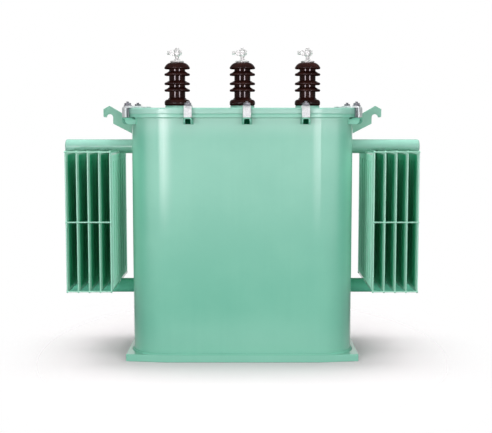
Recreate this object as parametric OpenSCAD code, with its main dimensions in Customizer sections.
// Three-phase oil-filled power transformer with end radiators, standing on its base tray.
// +X runs to the right along the tank, +Y to the rear, +Z up. The origin is under the middle of the tank.

/* [Tank] */
// Length of the tank over its end walls
tank_l = 916; // [800:1:1300]
// Depth of the tank over its front and rear walls
tank_d = 510; // [460:1:700]
// Height of the tank wall, from the base tray to the top of the rim
tank_h = 988; // [850:1:1400]
// Outside radius of the upright corners
tank_r = 140; // [90:1:170]
// Thickness of the tank's sheet
tank_t = 5; // [3:0.5:8]
// How far the rim stands out from the tank wall
rim_w = 20; // [16:1:30]
// Height of the rim bar
rim_h = 16; // [12:1:30]

/* [Base tray] */
// Height of the tray's folded skirt
base_h = 30; // [20:1:60]
// Thickness of the tray's plate
base_t = 6; // [4:0.5:10]
// How far the tray reaches past the tank's ends
base_end_w = 22; // [10:1:40]
// How far the tray reaches past the tank's front and rear
base_front_w = 8; // [4:1:20]
// How far the tray's edge slants back by its corners
base_corner_back = 23; // [5:1:40]

/* [Lid] */
// How far the lid reaches past the tank wall
lid_w = 22; // [18:1:34]
// Height of the lid's turned-down edge
lid_h = 21; // [12:1:30]
// Thickness of the lid's plate
lid_t = 6; // [4:0.5:8]
// Thickness of the lid's turned-down edge
lid_edge_t = 8; // [6:0.5:12]
// Radius along the lid's upper edge
lid_round = 5; // [2:0.5:6]
// Thickness of the gasket between rim and lid
gasket_t = 2; // [1:0.5:6]
// Width of the gasket
gasket_w = 12; // [8:1:16]
// How far the gasket lies in from the edge of the rim
gasket_in = 4; // [1:0.5:6]
// Diameter of the round boss under each high-voltage bushing
boss_d = 103; // [90:1:130]
// Height of that boss above the lid
boss_h = 10; // [4:0.5:20]

/* [High-voltage bushings] */
// Distance between the bushings' axes
hv_pitch = 277; // [220:1:330]
// Height of the porcelain
hv_h = 181; // [170:1:260]
// Diameter of the porcelain's body
hv_body_d = 69; // [50:1:80]
// Diameter over the sheds
hv_shed_d = 109; // [90:1:140]
// Diameter of the bulging foot
hv_foot_d = 109; // [90:1:120]
// Height of the foot
hv_foot_h = 27; // [16:1:40]
// Diameter at the porcelain's upper end
hv_top_d = 70; // [58:1:76]
// Height of the lowest shed's rim above the foot's underside
hv_first_shed = 65; // [58:1:80]
// Distance between the two sheds of a pair
hv_shed_gap = 28; // [24:1:36]
// Distance from the lower pair of sheds to the upper pair
hv_pair_gap = 67; // [60:1:90]

/* [High-voltage terminals] */
// Diameter of the metal cap on the porcelain
cap_d = 59; // [44:1:64]
// Height of the cap
cap_h = 9; // [6:0.5:20]
// Width across the flats of the nut on the cap
cap_nut_w = 24; // [20:1:32]
// Height of that nut
cap_nut_h = 5; // [4:0.5:10]
// Diameter of the stud between the nut and the clamp body
stud_d = 15; // [10:1:18]
// Length of the stud that shows
stud_l = 10; // [8:1:20]
// Diameter of the rounded, upright clamp body
head_d = 29; // [24:1:32]
// Height of the clamp body
head_h = 36; // [34:1:44]
// Width across the flats of the nut on top of the clamp body
top_nut_w = 16; // [12:1:18]
// How far that nut stands above the clamp body
top_nut_h = 2; // [1:0.5:8]
// Distance from the stud's axis to the conductor's hole
eye_x = 20; // [18:0.5:24]
// Outside diameter of the eye that grips the conductor
eye_d = 23; // [18:0.5:26]
// Diameter of the conductor's hole
eye_hole_d = 9; // [6:0.5:11]
// Length of the conductor's hole
eye_l = 18; // [12:1:26]
// Diameter of the clamp screw
screw_d = 15; // [8:0.5:16]
// How far the clamp screw reaches from the stud's axis
screw_x = 43; // [38:1:60]
// Width across the flats of the screw's head
screw_head_w = 18; // [14:1:22]
// How far the screw's head reaches on the other side
screw_head_x = 20; // [18:0.5:26]

/* [Lid clamps] */
// Width of a clamp strap
strap_w = 32; // [20:1:44]
// Thickness of a clamp strap
strap_t = 8; // [5:0.5:10]
// Distance from the tank wall to the strap's outer face
strap_out = 47; // [40:1:60]
// How far the strap's arm reaches in over the lid, from the tank wall
strap_in = 32; // [20:1:50]
// Outside radius of the bend between arm and leg
strap_bend = 13; // [11:1:16]
// Distance between the clamps along the front
clamp_pitch = 235; // [180:1:260]
// How far the front's middle clamp sits to the right of the tank's middle
clamp_shift = 19; // [0:1:40]
// Distance between the clamps along the rear
rear_clamp_pitch = 295; // [180:1:320]
// Angle round the tank's corners at which the end clamps sit
clamp_angle = 28; // [15:1:60]
// Width of the lug under a clamp
lug_w = 34; // [28:1:44]
// Height of the lug
lug_h = 28; // [20:1:44]
// Thickness of the lug's plate
lug_t = 6; // [4:0.5:8]
// Radius along the lug's folded edges
lug_round = 10; // [8:1:14]
// Bevel at the lug's lower outer corner
lug_bevel = 10; // [4:1:18]

/* [Lifting hooks] */
// Thickness of a hook plate
hook_t = 10; // [6:0.5:16]
// Reach of a hook from the tank's end wall
hook_reach = 134; // [120:1:180]
// Height of a hook's root along the tank wall
hook_root_h = 61; // [40:1:90]
// Distance from the underside of the rim down to the hook's root
hook_drop = 14; // [8:1:30]
// Height of the hook's top above the underside of the rim
hook_rise = 49; // [40:1:70]
// Width of the hook's throat
throat_w = 27; // [20:1:34]
// Thickness of the hook's nose outside its throat
nose_w = 14; // [10:1:20]

/* [Radiators] */
// Number of panels in each radiator
panel_count = 5; // [3:1:7]
// Distance between the panels' middle planes
panel_pitch = 45; // [36:1:60]
// Distance from the tank's end wall to the first panel
panel_start = 75; // [70:1:110]
// Depth of a panel from its front seam to its rear seam
panel_d = 520; // [420:1:700]
// Height of a panel
panel_h = 580; // [400:1:590]
// Thickness over a panel's pressed flutes
panel_t = 12; // [8:0.5:18]
// Thickness of the two sheets where they are welded together
seam_t = 3; // [2:0.5:5]
// Width of the flat seam at the panel's front and rear edges
seam_w = 7; // [4:1:12]
// Number of upright flutes across a panel
flute_count = 7; // [4:1:9]
// Width of the flat land between two flutes
flute_land = 8; // [4:1:12]
// Height of the pressed channel that joins the flutes at top and bottom
channel_h = 44; // [30:1:70]
// Diameter of the header pipes
header_d = 60; // [44:1:76]
// Gap between the lifting hook's root and the upper header below it
header_gap = 18; // [8:1:60]
// Distance between the two headers' axes
header_span = 600; // [595:1:620]
// How far a header reaches past its last panel
header_end = 42; // [20:1:60]
// Radius along the edge of a header's closed end
header_round = 9; // [4:1:16]
// Diameter of the tie rods along the panels' front and rear edges
rod_d = 6; // [4:0.5:12]
// How far the tie rods reach past the outer panels
rod_end = 8; // [6:1:16]

/* [Low-voltage bushings] */
// Distance between the bushings on the rear wall
lv_pitch = 140; // [110:1:150]
// Distance from the underside of the rim down to their axes
lv_drop = 152; // [90:1:400]
// Length of the porcelain
lv_h = 84; // [70:1:110]
// Diameter of the porcelain's body
lv_body_d = 62; // [44:1:70]
// Diameter of its collar and sheds
lv_shed_d = 86; // [76:1:100]
// Diameter of the terminal's stud
lv_stud_d = 24; // [16:1:30]
// Length of the stud between porcelain and pad
lv_stud_l = 18; // [14:1:30]
// Width of the flat terminal pad
pad_w = 50; // [36:1:60]
// Length of the pad
pad_l = 82; // [74:1:110]
// Thickness of the pad
pad_t = 10; // [6:0.5:16]
// Diameter of the pad's two bolt holes
pad_hole_d = 14; // [9:0.5:18]
// Distance between the two bolt holes
pad_hole_gap = 44; // [36:1:48]

/* [Earth terminal] */
// Diameter of the earthing boss on the rear wall
earth_d = 36; // [28:1:50]
// Length of the boss
earth_l = 22; // [14:1:40]
// Diameter of its threaded hole
earth_hole_d = 10.2; // [6:0.1:14]
// Depth of that hole
earth_hole_l = 16; // [8:1:18]
// Distance of the boss from the tank's middle
earth_x = 250; // [100:1:270]
// Height of the boss above the floor
earth_z = 90; // [60:1:200]

/* [Hidden] */
$fn = 96;
// Depth by which a cutting shape passes the face it cuts
cut = 1;
// Clearance between a panel and the header pipe that it hangs on
saddle_gap = 0.2;

rim_z = base_h + tank_h - rim_h;
rim_top = base_h + tank_h;
lid_z = rim_top + gasket_t;
lid_top = lid_z + lid_h;
boss_top = lid_top + boss_h;
terminal_z = boss_top + hv_h;
head_z = terminal_z + cap_h + cap_nut_h + stud_l + head_h / 2;
corner_x = tank_l / 2 - tank_r;
corner_y = tank_d / 2 - tank_r;
// The rear clamps stay on the straight part of the wall
rear_pitch = min(rear_clamp_pitch, corner_x - lug_w / 2);
lv_z = rim_z - lv_drop;
base_slope = base_corner_back / (tank_r + base_end_w);
header_z = rim_z - hook_drop - hook_root_h - header_gap - header_d / 2 - header_span;
panel_z = header_z + (header_span - panel_h) / 2;
flute_pitch = (panel_d - 2 * seam_w) / flute_count;
panel_end = panel_start + (panel_count - 1) * panel_pitch;
header_l = panel_end + header_end;

green = "#86c4ae";
porcelain = "#3c2220";
zinc = "#d9dadc";
pale_metal = "#c9c6bf";
black_rubber = "#2a2a2a";

ends = ["left", "right"];
phases = ["left", "middle", "right"];
lv_count = 4;
NODES = concat(
    ["base_tray", "tank_wall", "tank_rim", "lid_gasket", "lid"],
    [for (p = phases) str("hv_bushing_", p)],
    [for (p = phases) str("hv_terminal_", p)],
    [for (s = ["front", "rear", "left", "right"]) str(s, "_lid_clamps")],
    [for (s = ["front", "rear", "left", "right"]) str(s, "_clamp_lugs")],
    [for (e = ends) str(e, "_lifting_hook")],
    [for (e = ends) for (h = ["lower", "upper"]) str(e, "_", h, "_header")],
    [for (e = ends) for (i = [1 : panel_count]) str(e, "_radiator_panel_", i)],
    [for (e = ends) str(e, "_radiator_rods")],
    [for (i = [1 : lv_count]) str("lv_bushing_", i)],
    ["lv_terminals", "earth_terminal"]);
node = "all";

function shown(name) = node == "all" || node == name;

// A block with rounded upright corners, centred on the tank's axis and grown outwards by grow
module tank_block(grow, z, h) {
    r = tank_r + grow;
    translate([0, 0, z]) {
        translate([-corner_x, -corner_y - r, 0]) cube([2 * corner_x, 2 * (corner_y + r), h]);
        for (sx = [-1, 1])
            translate([sx > 0 ? corner_x : -corner_x - r, -corner_y, 0]) cube([r, 2 * corner_y, h]);
        for (a = [0, 90, 180, 270])
            translate([(a == 0 || a == 270 ? 1 : -1) * corner_x, (a < 180 ? 1 : -1) * corner_y, 0])
                rotate(a) rotate_extrude(angle = 90) square([r, h]);
    }
}

// A profile carried round the tank: x is measured from the corner's centre outwards, y upwards
module round_the_tank() {
    for (a = [0, 90, 180, 270]) {
        sx = a == 0 || a == 270 ? 1 : -1;
        sy = a < 180 ? 1 : -1;
        translate([sx * corner_x, sy * corner_y, 0]) rotate(a) rotate_extrude(angle = 90) children();
    }
    for (s = [0, 180]) {
        rotate(s) translate([corner_x, corner_y, 0]) rotate([90, 0, 0])
            linear_extrude(2 * corner_y) children();
        rotate(s) translate([-corner_x, corner_y, 0]) rotate([90, 0, 90])
            linear_extrude(2 * corner_x) children();
    }
}

// Outline of the base tray, moved inwards by inset, with its edge slanting back past the tank's corners
module base_outline(inset) {
    hl = tank_l / 2 + base_end_w;
    hd = tank_d / 2 + base_front_w;
    lean = sqrt(1 + base_slope * base_slope);
    bend_x = corner_x + inset * (1 - lean) / base_slope;
    end_x = hl - inset;
    end_y = hd - base_slope * (end_x - corner_x) - inset * lean;
    polygon([for (q = [[1, 1], [-1, 1], [-1, -1], [1, -1]])
        each q[0] * q[1] > 0
            ? [[q[0] * end_x, q[1] * end_y], [q[0] * bend_x, q[1] * (hd - inset)]]
            : [[q[0] * bend_x, q[1] * (hd - inset)], [q[0] * end_x, q[1] * end_y]]]);
}

module base_tray() {
    color(green) difference() {
        linear_extrude(base_h) base_outline(0);
        translate([0, 0, -cut]) linear_extrude(base_h - base_t + cut) base_outline(base_t);
    }
}

module tank_wall() {
    color(green) difference() {
        tank_block(0, base_h, tank_h);
        tank_block(-tank_t, base_h - cut, tank_h + 2 * cut);
    }
}

module tank_rim() {
    color(green) difference() {
        tank_block(rim_w, rim_z, rim_h);
        tank_block(0, rim_z - cut, rim_h + 2 * cut);
    }
}

module lid_gasket() {
    outer = rim_w - gasket_in;
    color(black_rubber) difference() {
        tank_block(outer, rim_top, gasket_t);
        tank_block(outer - gasket_w, rim_top - cut, gasket_t + 2 * cut);
    }
}

// Section through the lid's rounded, turned-down edge
module lid_edge_profile() {
    r = tank_r + lid_w;
    translate([r - lid_edge_t, lid_z]) square([lid_edge_t, lid_h - lid_round]);
    translate([0, lid_top - lid_t]) square([r - lid_round, lid_t]);
    translate([r - lid_edge_t, lid_top - lid_round]) square([lid_edge_t - lid_round, lid_round]);
    intersection() {
        translate([r - lid_round, lid_top - lid_round]) circle(lid_round);
        translate([r - lid_round, lid_top - lid_round]) square(lid_round);
    }
}

module lid() {
    color(green) {
        round_the_tank() lid_edge_profile();
        translate([-corner_x, -corner_y, lid_top - lid_t]) cube([2 * corner_x, 2 * corner_y, lid_t]);
        for (i = [-1 : 1])
            translate([i * hv_pitch, 0, lid_top - lid_t]) cylinder(d = boss_d, h = lid_t + boss_h);
    }
}

// Half section of one shed with its rim at height z: rounded at the rim, thicker towards the body
module shed_profile(z, body_d, shed_d, rise, under, tip_r) {
    polygon([[0, z - under], [body_d / 2, z - under], [shed_d / 2 - tip_r, z - tip_r],
             [shed_d / 2 - tip_r, z + tip_r], [body_d / 2, z + rise], [0, z + rise]]);
    translate([shed_d / 2 - tip_r, z]) circle(tip_r);
}

// Half section of the foot: a barrel with a small round below, a large one above and a slope up to the body
module foot_profile() {
    r = hv_foot_d / 2;
    low_r = hv_foot_h / 3;
    high_r = hv_foot_h * 0.48;
    slope_h = 8;
    square([r - low_r, low_r]);
    translate([r - low_r, low_r]) circle(low_r);
    translate([0, low_r]) square([r, hv_foot_h - high_r - low_r]);
    translate([r - high_r, hv_foot_h - high_r]) circle(high_r);
    polygon([[0, hv_foot_h - high_r], [r - high_r, hv_foot_h - high_r], [r - high_r, hv_foot_h],
             [hv_body_d / 2, hv_foot_h + slope_h], [0, hv_foot_h + slope_h]]);
}

// Half section of the hood over the uppermost shed, swelling a little between its rim and the cap
module hood_profile(z, tip_r) {
    swell = 2.2;
    rim = [hv_shed_d / 2 - tip_r, z] + tip_r * [cos(45), sin(45)];
    top = [hv_top_d / 2, hv_h];
    chord = top - rim;
    r = (chord * chord / 4 + swell * swell) / (2 * swell);
    centre = (rim + top) / 2 - (r - swell) * [chord[1], -chord[0]] / norm(chord);
    intersection() {
        translate(centre) circle(r, $fn = 240);
        translate([0, rim[1]]) square([rim[0], hv_h - rim[1]]);
    }
}

// Half section of the tall porcelain: foot, plain body and two pairs of sheds, the top one under a hood
module hv_bushing_profile() {
    rise = 14;
    under = 3;
    tip_r = 5.5;
    last_shed = hv_first_shed + hv_pair_gap + hv_shed_gap;
    core_r = min(hv_body_d, hv_top_d) / 2 - 1;
    foot_profile();
    square([hv_body_d / 2, last_shed]);
    square([core_r, hv_h]);
    for (pair = [0, 1]) for (s = [0, 1])
        shed_profile(hv_first_shed + pair * hv_pair_gap + s * hv_shed_gap,
                     hv_body_d, hv_shed_d, rise, under, tip_r);
    hood_profile(last_shed, tip_r);
}

module hv_bushing(i) {
    color(porcelain) translate([i * hv_pitch, 0, boss_top]) rotate_extrude() hv_bushing_profile();
}

// A hexagon with the given width across its flats and two corners on its y axis
module hexagon(width) {
    rotate(90) circle(d = width / cos(30), $fn = 6);
}

// Half section of the cap, which flares a little towards its top and is bevelled there
module cap_profile() {
    flare = 2;
    bevel = 2.5;
    polygon([[0, 0], [cap_d / 2 - flare, 0], [cap_d / 2, cap_h - bevel],
             [cap_d / 2 - 2 * bevel, cap_h], [0, cap_h]]);
}

// Half section of the clamp body: an upright barrel with rounded ends, and its stud below
module head_profile() {
    r = head_d / 2;
    end_r = r * 0.85;
    translate([0, -head_h / 2 - stud_l]) square([stud_d / 2, head_h / 2 + stud_l]);
    translate([0, end_r - head_h / 2]) square([r, head_h - 2 * end_r]);
    for (s = [-1, 1]) {
        translate([0, s > 0 ? head_h / 2 - end_r : -head_h / 2]) square([r - end_r, end_r]);
        intersection() {
            translate([r - end_r, s * (head_h / 2 - end_r)]) circle(end_r);
            translate([0, -head_h / 2]) square([r, head_h]);
        }
    }
}

// Cap, nut, stud and clamp body, with the screw that draws the eye on to the conductor
module hv_terminal(i) {
    color(pale_metal) translate([i * hv_pitch, 0, head_z]) difference() {
        union() {
            translate([0, 0, terminal_z - head_z]) {
                rotate_extrude() cap_profile();
                linear_extrude(cap_h + cap_nut_h) hexagon(cap_nut_w);
            }
            rotate_extrude() head_profile();
            linear_extrude(head_h / 2 + top_nut_h) hexagon(top_nut_w);
            translate([-eye_x, eye_l / 2, 0]) rotate([90, 0, 0]) cylinder(d = eye_d, h = eye_l);
            translate([-screw_x, 0, 0]) rotate([0, 90, 0])
                cylinder(d = screw_d, h = screw_x - eye_x - eye_hole_d / 2);
            rotate([0, 90, 0]) linear_extrude(screw_head_x) hexagon(screw_head_w);
        }
        translate([-eye_x, eye_l / 2 + cut, 0]) rotate([90, 0, 0])
            cylinder(d = eye_hole_d, h = eye_l + 2 * cut);
    }
}

// Where the clamps of one side stand: a point on the tank wall and the way that it faces
function clamp_places(side) =
    side == "front" || side == "rear"
        ? [for (i = [-1 : 1]) side == "front" ? [clamp_shift + i * clamp_pitch, -tank_d / 2, -90]
                                              : [i * rear_pitch, tank_d / 2, 90]]
        : [for (s = [-1, 1]) let (a = side == "right" ? s * clamp_angle : 180 - s * clamp_angle)
              [(side == "right" ? 1 : -1) * corner_x + tank_r * cos(a), s * corner_y + tank_r * sin(a), a]];

// Puts a piece at each clamp of a side, with its own x pointing away from the tank
module at_clamps(side) {
    for (p = clamp_places(side)) translate([p[0], p[1], 0]) rotate(p[2]) children();
}

// A strap bent over the edge of the lid, with its arm on the lid and its leg on the lug
module lid_clamps(side) {
    bend_x = strap_out - strap_bend;
    bend_z = lid_top + strap_t - strap_bend;
    color(zinc) at_clamps(side) rotate([90, 0, 0]) translate([0, 0, -strap_w / 2]) linear_extrude(strap_w) {
        translate([-strap_in, lid_top]) square([strap_in + bend_x, strap_t]);
        translate([strap_out - strap_t, rim_z]) square([strap_t, bend_z - rim_z]);
        difference() {
            intersection() {
                translate([bend_x, bend_z]) circle(strap_bend);
                translate([bend_x, bend_z]) square(strap_bend);
            }
            translate([bend_x, bend_z]) circle(strap_bend - strap_t);
        }
    }
}

// An upright arch with its foot at [0, 0], with rounded upper corners
module arch(width, height, round) {
    translate([-width / 2, 0]) square([width, height - round]);
    translate([round - width / 2, 0]) square([width - 2 * round, height]);
    for (s = [-1, 1]) translate([s * (width / 2 - round), height - round]) circle(round);
}

// Folded channels welded to the wall, open below and outwards, one under each clamp
module clamp_lugs(side) {
    // how far a lug is drawn into the wall before the wall's own shape trims it
    root = 3;
    color(green) difference() {
        at_clamps(side) translate([0, 0, rim_z - lug_h]) difference() {
            translate([-root, 0, 0]) rotate([90, 0, 90]) linear_extrude(root + strap_out) difference() {
                arch(lug_w, lug_h, lug_round);
                translate([0, -cut]) arch(lug_w - 2 * lug_t, lug_h - lug_t + cut, lug_round - lug_t);
            }
            translate([strap_out, 0, 0]) rotate([0, 45, 0])
                cube([lug_bevel * sqrt(2), lug_w + 2 * cut, lug_bevel * sqrt(2)], center = true);
        }
        tank_block(0, rim_z - lug_h - cut, lug_h + 2 * cut);
    }
}

// A plate hook: it rises outwards from the end wall, and its nose turns down round the throat
module hook_outline() {
    root_z = rim_z - hook_drop;
    top_z = rim_z + hook_rise;
    throat_x = hook_reach - nose_w - throat_w / 2;
    throat_z = rim_z;
    flank_x = throat_x - throat_w / 2;
    shoulder = 26;
    difference() {
        union() {
            polygon([[0, root_z - hook_root_h], [flank_x, throat_z - throat_w], [flank_x, throat_z],
                     [hook_reach - nose_w / 2, throat_z], [hook_reach, throat_z + nose_w / 2],
                     [hook_reach, top_z - nose_w], [hook_reach - shoulder, top_z], [0, root_z]]);
            translate([hook_reach - nose_w / 2, throat_z + nose_w / 2]) circle(d = nose_w);
        }
        translate([throat_x, throat_z]) circle(d = throat_w);
    }
}

module lifting_hook(side) {
    color(green) translate([side * tank_l / 2, 0, 0]) mirror([side > 0 ? 0 : 1, 0, 0])
        rotate([90, 0, 0]) translate([0, 0, -hook_t / 2]) linear_extrude(hook_t) hook_outline();
}

// A closed header pipe from the tank's end wall outwards
module header(side, upper) {
    r = header_d / 2;
    color(green) translate([side * tank_l / 2, 0, header_z + (upper ? header_span : 0)])
        rotate([0, side * 90, 0]) rotate_extrude() {
            square([r, header_l - header_round]);
            translate([0, header_l - header_round]) square([r - header_round, header_round]);
            intersection() {
                translate([r - header_round, header_l - header_round]) circle(header_round);
                translate([r - header_round, header_l - header_round]) square(header_round);
            }
        }
}

// Section through a pressed flute: two curved flanks under a flat crown on each face
module flute_profile(width) {
    bulge = panel_t * 0.85;
    r = (width * width / 4 + bulge * bulge) / (2 * bulge);
    intersection() {
        translate([bulge - r, 0]) circle(r);
        translate([r - bulge, 0]) circle(r);
        square([panel_t, width], center = true);
    }
}

// Plan of a panel's pressed part, thinning towards the front and rear seams
module panel_plan() {
    taper = panel_t;
    y1 = panel_d / 2 - seam_w;
    polygon([for (q = [[1, 1], [-1, 1], [-1, -1], [1, -1]])
        each q[0] * q[1] > 0
            ? [[q[0] * panel_t / 2, q[1] * (y1 - taper)], [q[0] * seam_t / 2, q[1] * y1]]
            : [[q[0] * seam_t / 2, q[1] * y1], [q[0] * panel_t / 2, q[1] * (y1 - taper)]]]);
}

// A pressed plate panel, cut out to sit on both headers
module radiator_panel(side, i) {
    edge = seam_w;
    color(green) translate([side * (tank_l / 2 + panel_start + i * panel_pitch), 0, panel_z]) difference() {
        union() {
            translate([-seam_t / 2, -panel_d / 2, 0]) cube([seam_t, panel_d, panel_h]);
            for (f = [0 : flute_count - 1])
                translate([0, (f - (flute_count - 1) / 2) * flute_pitch, edge + channel_h / 2])
                    linear_extrude(panel_h - 2 * edge - channel_h) flute_profile(flute_pitch - flute_land);
            for (z = [edge + channel_h / 2, panel_h - edge - channel_h / 2])
                intersection() {
                    linear_extrude(panel_h) panel_plan();
                    translate([0, panel_d / 2, z]) rotate([90, 0, 0])
                        linear_extrude(panel_d) flute_profile(channel_h);
                }
        }
        for (z = [header_z, header_z + header_span])
            translate([-panel_t, 0, z - panel_z]) rotate([0, 90, 0])
                cylinder(r = header_d / 2 + saddle_gap, h = 2 * panel_t);
    }
}

// Round rods that tie the panels together along their front and rear edges
module radiator_rods(side) {
    x0 = tank_l / 2 + panel_start - rod_end;
    length = panel_end - panel_start + 2 * rod_end;
    color(green) for (y = [-1, 1]) for (z = [rod_d, panel_h / 2, panel_h - rod_d])
        translate([side > 0 ? x0 : -x0 - length, y * (panel_d + rod_d) / 2, panel_z + z])
            rotate([0, 90, 0]) cylinder(d = rod_d, h = length);
}

function lv_x(i) = (i - (lv_count - 1) / 2) * lv_pitch;

// Puts a piece on the rear wall with its own z pointing to the rear
module on_rear_wall(x, z) {
    translate([x, tank_d / 2, z]) rotate([-90, 0, 0]) children();
}

module lv_bushing(i) {
    collar_h = 14;
    shed_rise = 9;
    shed_under = 5;
    tip_r = 3;
    color(porcelain) on_rear_wall(lv_x(i), lv_z) rotate_extrude() {
        square([lv_shed_d / 2, collar_h]);
        square([lv_body_d / 2, lv_h]);
        for (y = [lv_h * 0.42, lv_h * 0.7])
            shed_profile(y, lv_body_d, lv_shed_d, shed_rise, shed_under, tip_r);
    }
}

// A stud with its nut and a flat pad drilled for two bolts, on each low-voltage bushing
module lv_terminals() {
    nut_h = 10;
    color(pale_metal) for (i = [0 : lv_count - 1]) on_rear_wall(lv_x(i), lv_z) translate([0, 0, lv_h])
        difference() {
            union() {
                cylinder(d = lv_stud_d, h = lv_stud_l);
                cylinder(d = lv_stud_d * 1.6, h = nut_h, $fn = 6);
                translate([-pad_w / 2, -pad_t / 2, lv_stud_l]) cube([pad_w, pad_t, pad_l]);
            }
            for (s = [-1, 1]) translate([0, pad_t, lv_stud_l + pad_l / 2 + s * pad_hole_gap / 2])
                rotate([90, 0, 0]) cylinder(d = pad_hole_d, h = 2 * pad_t);
        }
}

module earth_terminal() {
    color(pale_metal) on_rear_wall(earth_x, earth_z) difference() {
        cylinder(d = earth_d, h = earth_l);
        translate([0, 0, earth_l - earth_hole_l]) cylinder(d = earth_hole_d, h = earth_hole_l + cut);
    }
}

if (shown("base_tray")) base_tray();
if (shown("tank_wall")) tank_wall();
if (shown("tank_rim")) tank_rim();
if (shown("lid_gasket")) lid_gasket();
if (shown("lid")) lid();
for (i = [0 : 2]) {
    if (shown(str("hv_bushing_", phases[i]))) hv_bushing(i - 1);
    if (shown(str("hv_terminal_", phases[i]))) hv_terminal(i - 1);
}
for (s = ["front", "rear", "left", "right"]) {
    if (shown(str(s, "_lid_clamps"))) lid_clamps(s);
    if (shown(str(s, "_clamp_lugs"))) clamp_lugs(s);
}
for (e = [0, 1]) {
    if (shown(str(ends[e], "_lifting_hook"))) lifting_hook(2 * e - 1);
    if (shown(str(ends[e], "_lower_header"))) header(2 * e - 1, false);
    if (shown(str(ends[e], "_upper_header"))) header(2 * e - 1, true);
    for (i = [1 : panel_count])
        if (shown(str(ends[e], "_radiator_panel_", i))) radiator_panel(2 * e - 1, i - 1);
    if (shown(str(ends[e], "_radiator_rods"))) radiator_rods(2 * e - 1);
}
for (i = [1 : lv_count])
    if (shown(str("lv_bushing_", i))) lv_bushing(i - 1);
if (shown("lv_terminals")) lv_terminals();
if (shown("earth_terminal")) earth_terminal();
